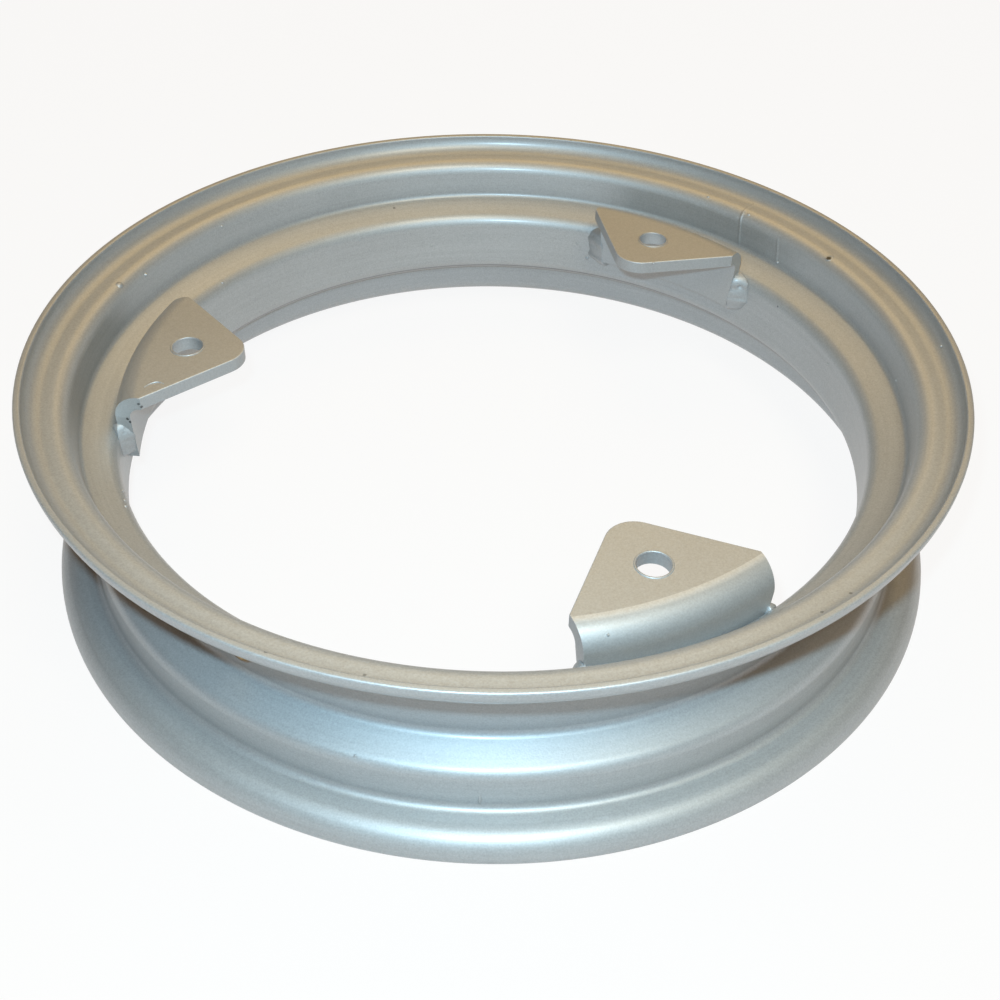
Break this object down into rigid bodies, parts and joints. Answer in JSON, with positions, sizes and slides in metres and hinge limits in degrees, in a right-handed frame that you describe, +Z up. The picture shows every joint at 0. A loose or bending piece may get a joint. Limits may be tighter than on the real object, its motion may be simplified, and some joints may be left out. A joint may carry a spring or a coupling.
{
  "type": "tractor wheel rim",
  "caption": "Drop-centre steel front wheel rim with bent lug brackets welded inside the well for bolting to a hub.",
  "frame": {"origin": "wheel axis at the plane of the lower lip, which the rim lies on", "axes": "+Z up along the wheel axis, towards the side that the lugs are nearest; -X through one lug"},
  "size_m": [0.415, 0.415, 0.0986],
  "materials": {
    "rim_paint": "satin silver paint",
    "lug_paint": "satin silver paint",
    "weld_paint": "satin silver paint over a rough bead"
  },
  "bodies": {
    "root": {"rim_band": "rim_paint", "lug_bracket_1": "lug_paint", "lug_bracket_2": "lug_paint", "lug_bracket_3": "lug_paint", "weld_1a": "weld_paint", "weld_1b": "weld_paint", "weld_2a": "weld_paint", "weld_2b": "weld_paint", "weld_3a": "weld_paint", "weld_3b": "weld_paint"}
  },
  "joints": []
}
